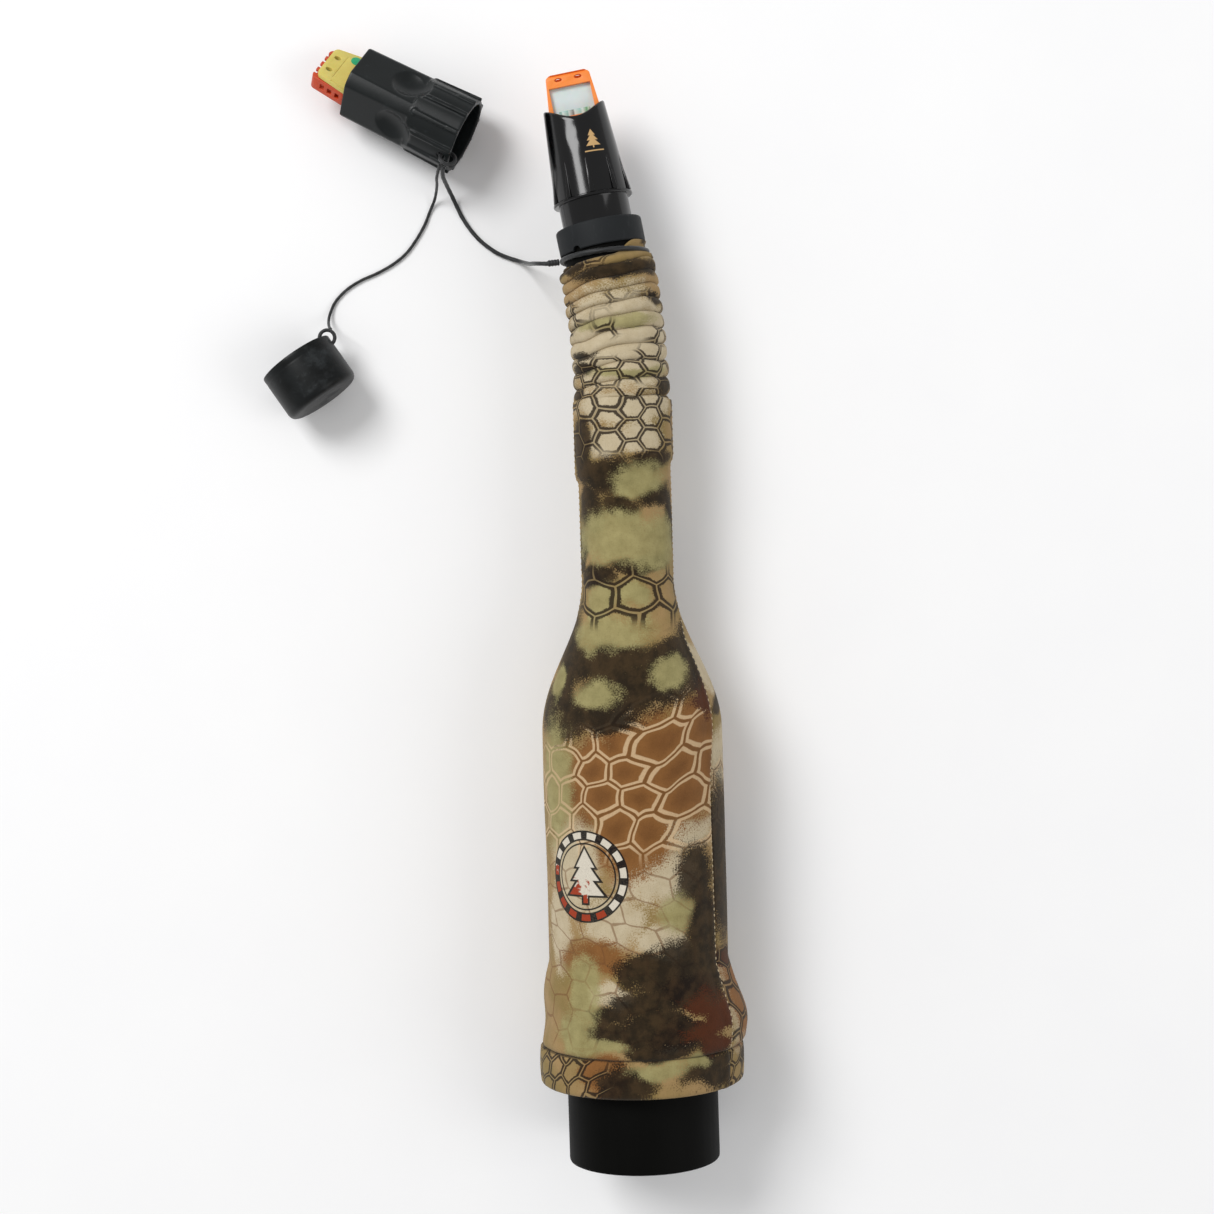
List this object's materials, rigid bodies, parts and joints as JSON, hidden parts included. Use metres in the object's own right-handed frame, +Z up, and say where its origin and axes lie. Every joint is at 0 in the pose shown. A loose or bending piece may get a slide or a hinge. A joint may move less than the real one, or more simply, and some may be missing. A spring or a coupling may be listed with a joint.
{
  "type": "mouth-blown game call tube",
  "caption": "Mouth-blown bugle tube in a printed cloth sleeve, with a flexible neck, a plug-in reed call and a second reed call and mouth cap on a lanyard.",
  "frame": {"origin": "centre of the bell's open end, on the tube's axis", "axes": "+Y along the tube from the bell to the mouthpiece, +Z up from the table it lies on, +X to the right seen from above with the mouthpiece away"},
  "size_m": [0.2327, 0.567, 0.094],
  "materials": {
    "black_moulding": "satin, fine moulded texture",
    "black_rubber": "matte",
    "hose_plastic": "satin",
    "camo_cloth": "brushed printed knit, tan, olive and brown camouflage",
    "seam_thread": "pale stitching",
    "elastic": "woven elastic",
    "lanyard_cord": "braided cord",
    "gloss_black": "polished",
    "seal_rubber": "satin",
    "orange_plastic": "satin",
    "latex": "thin translucent sheet",
    "teal_tape": "satin",
    "satin_black": "satin",
    "yellow_plastic": "satin"
  },
  "bodies": {
    "tube": {"bell_tube": "black_moulding", "bell_bush": "black_rubber", "tube_barrel": "black_moulding", "tube_shoulder": "black_moulding", "tube_neck": "black_moulding", "flex_neck": "hose_plastic", "sleeve_front": "camo_cloth", "sleeve_back": "camo_cloth", "seam_right": "seam_thread", "seam_left": "seam_thread", "sleeve_hem": "camo_cloth", "hem_elastic": "elastic", "sleeve_gathers": "camo_cloth"},
    "neck_top": {"neck_ferrule": "black_moulding", "neck_collar": "black_rubber", "neck_elastic": "elastic", "lanyard_loop": "lanyard_cord", "lanyard_slip_knot": "lanyard_cord", "lanyard_cord_long": "lanyard_cord"},
    "bugle_call": {"bugle_barrel": "gloss_black", "bugle_orings": "seal_rubber"},
    "bugle_reed": {"bugle_reed_plug": "orange_plastic", "bugle_reed_base": "orange_plastic", "bugle_reed_latex": "latex", "bugle_reed_frame": "orange_plastic", "bugle_reed_strip": "teal_tape"},
    "tether_call": {"tether_barrel": "satin_black", "tether_knot": "lanyard_cord", "lanyard_cord_short": "lanyard_cord"},
    "tether_reed": {"tether_reed_plug": "orange_plastic", "tether_reed_base": "orange_plastic", "tether_reed_latex": "latex", "tether_reed_frame": "yellow_plastic", "tether_reed_mark": "teal_tape"},
    "cap": {"mouth_cap": "satin_black", "cap_knot": "lanyard_cord"}
  },
  "joints": [
    {"name": "neck_bend", "type": "hinge", "parent": "tube", "child": "neck_top", "pos_m": [-0.0015, 0.413, 0], "axis": [0, 0, 1], "range_deg": [-30, 10], "deforming": ["flex_neck", "sleeve_gathers", "lanyard_cord_long", "neck_elastic"]},
    {"name": "bugle_call_pull", "type": "slide", "parent": "neck_top", "child": "bugle_call", "axis": [-0.1736, 0.9848, 0], "range_m": [0, 0.032]},
    {"name": "bugle_reed_pull", "type": "slide", "parent": "bugle_call", "child": "bugle_reed", "axis": [-0.1736, 0.9848, 0], "range_m": [0, 0.018]},
    {"name": "tether_swing", "type": "hinge", "parent": "neck_top", "child": "tether_call", "pos_m": [-0.0875, 0.505, -0.024], "axis": [0, 0, 1], "range_deg": [-20, 20], "deforming": ["lanyard_cord_long", "lanyard_cord_short"]},
    {"name": "tether_reed_pull", "type": "slide", "parent": "tether_call", "child": "tether_reed", "axis": [-0.8781, 0.4768, -0.0397], "range_m": [0, 0.018]},
    {"name": "cap_swing", "type": "hinge", "parent": "tether_call", "child": "cap", "pos_m": [-0.1475, 0.416, -0.024], "axis": [0, 0, 1], "range_deg": [-30, 30], "deforming": ["lanyard_cord_short"]}
  ]
}
